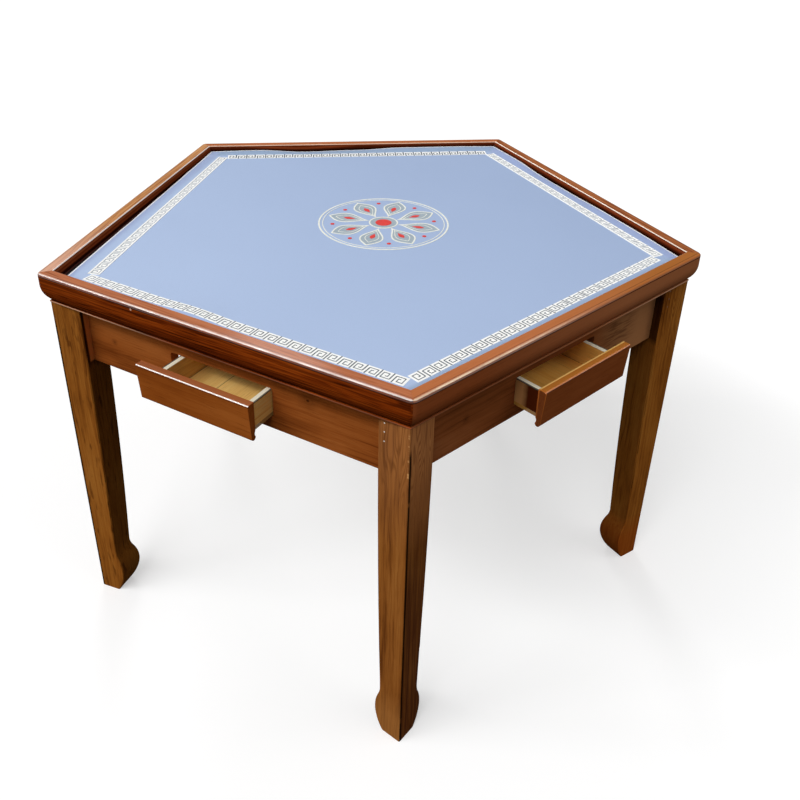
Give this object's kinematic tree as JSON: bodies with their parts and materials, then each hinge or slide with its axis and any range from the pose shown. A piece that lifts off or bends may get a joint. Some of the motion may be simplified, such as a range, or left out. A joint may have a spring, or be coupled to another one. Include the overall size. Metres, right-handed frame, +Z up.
{
  "type": "mahjong table with drawers",
  "caption": "Pentagonal wooden game table with a cloth-lined tray top, hoof-footed square legs and a shallow sliding drawer in each side apron.",
  "frame": {"origin": "on the floor, under the middle of the bounding box", "axes": "+Z up, one corner and its leg point towards -Y, the side opposite it faces +Y"},
  "size_m": [1.2092, 1.1512, 0.75],
  "materials": {
    "rim_wood": "glossy reddish brown varnish",
    "frame_wood": "stained and varnished pine with strong grain",
    "drawer_face_wood": "glossy reddish brown varnish",
    "raw_pine": "clear sealed pale pine",
    "inner_wood": "planed bare softwood",
    "board_wood": "plain sheet, bare underneath",
    "cloth": "short blue woven cloth on a thin foam mat",
    "steel": "zinc plated"
  },
  "bodies": {
    "table": {"apron_back": "frame_wood", "apron_front_left": "frame_wood", "apron_front_right": "frame_wood", "apron_left": "frame_wood", "apron_right": "frame_wood", "apron_screws": "steel", "back_drawer_runners": "inner_wood", "corner_block_back_left": "inner_wood", "corner_block_back_right": "inner_wood", "corner_block_front": "inner_wood", "corner_block_left": "inner_wood", "corner_block_right": "inner_wood", "front_left_drawer_runners": "inner_wood", "front_right_drawer_runners": "inner_wood", "left_drawer_runners": "inner_wood", "leg_back_left": "frame_wood", "leg_back_right": "frame_wood", "leg_bolt_nuts": "steel", "leg_bolt_washers": "steel", "leg_bolts": "steel", "leg_front": "frame_wood", "leg_left": "frame_wood", "leg_right": "frame_wood", "mitre_splines": "inner_wood", "playing_mat": "cloth", "right_drawer_runners": "inner_wood", "rim_rail_back": "rim_wood", "rim_rail_front_left": "rim_wood", "rim_rail_front_right": "rim_wood", "rim_rail_left": "rim_wood", "rim_rail_right": "rim_wood", "tabletop_board": "board_wood", "tabletop_screws": "steel", "tenon_brads": "steel"},
    "front_left_drawer": {"front_left_drawer_face": "drawer_face_wood", "front_left_drawer_far_side": "raw_pine", "front_left_drawer_floor": "raw_pine", "front_left_drawer_near_side": "raw_pine", "front_left_drawer_rear": "raw_pine"},
    "front_right_drawer": {"front_right_drawer_face": "drawer_face_wood", "front_right_drawer_far_side": "raw_pine", "front_right_drawer_floor": "raw_pine", "front_right_drawer_near_side": "raw_pine", "front_right_drawer_rear": "raw_pine"},
    "right_drawer": {"right_drawer_face": "drawer_face_wood", "right_drawer_far_side": "raw_pine", "right_drawer_floor": "raw_pine", "right_drawer_near_side": "raw_pine", "right_drawer_rear": "raw_pine"},
    "back_drawer": {"back_drawer_face": "drawer_face_wood", "back_drawer_far_side": "raw_pine", "back_drawer_floor": "raw_pine", "back_drawer_near_side": "raw_pine", "back_drawer_rear": "raw_pine"},
    "left_drawer": {"left_drawer_face": "drawer_face_wood", "left_drawer_far_side": "raw_pine", "left_drawer_floor": "raw_pine", "left_drawer_near_side": "raw_pine", "left_drawer_rear": "raw_pine"}
  },
  "joints": [
    {"name": "front_left_drawer_slide", "type": "slide", "parent": "table", "child": "front_left_drawer", "axis": [-0.5878, -0.809, 0], "range_m": [-0.046, 0.144]},
    {"name": "front_right_drawer_slide", "type": "slide", "parent": "table", "child": "front_right_drawer", "axis": [0.5878, -0.809, 0], "range_m": [-0.046, 0.144]},
    {"name": "right_drawer_slide", "type": "slide", "parent": "table", "child": "right_drawer", "axis": [0.9511, 0.309, 0], "range_m": [0, 0.19]},
    {"name": "back_drawer_slide", "type": "slide", "parent": "table", "child": "back_drawer", "axis": [0, 1, 0], "range_m": [0, 0.19]},
    {"name": "left_drawer_slide", "type": "slide", "parent": "table", "child": "left_drawer", "axis": [-0.9511, 0.309, 0], "range_m": [0, 0.19]}
  ]
}
